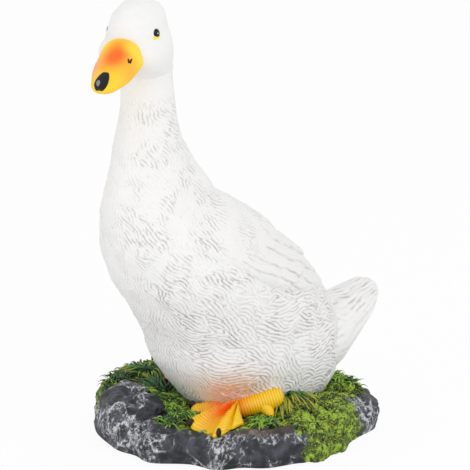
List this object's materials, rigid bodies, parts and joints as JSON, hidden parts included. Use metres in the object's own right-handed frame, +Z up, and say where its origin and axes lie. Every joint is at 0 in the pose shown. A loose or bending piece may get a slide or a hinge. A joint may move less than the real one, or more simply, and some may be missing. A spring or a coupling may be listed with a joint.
{
  "type": "duck garden statue",
  "caption": "Garden statue of a white duck with its head turned, standing on a mossy rock, cast as one piece with a flat underside.",
  "frame": {"origin": "middle of the flat underside of the rock base, on the floor", "axes": "+Z up, -Y the way that the duck's body faces, +X its left side"},
  "size_m": [0.2569, 0.357, 0.4491],
  "materials": {
    "painted_resin": "matt white paint, faint grey-brown wash in the carving",
    "bill_and_feet_paint": "satin yellow paint shaded with orange",
    "eye_paint": "gloss black-brown paint",
    "rock_paint": "matt dark grey paint, dry-brushed white",
    "moss_paint": "matt dark green paint with yellow-green tips"
  },
  "bodies": {
    "root": {"duck_statue": "painted_resin"}
  },
  "joints": []
}
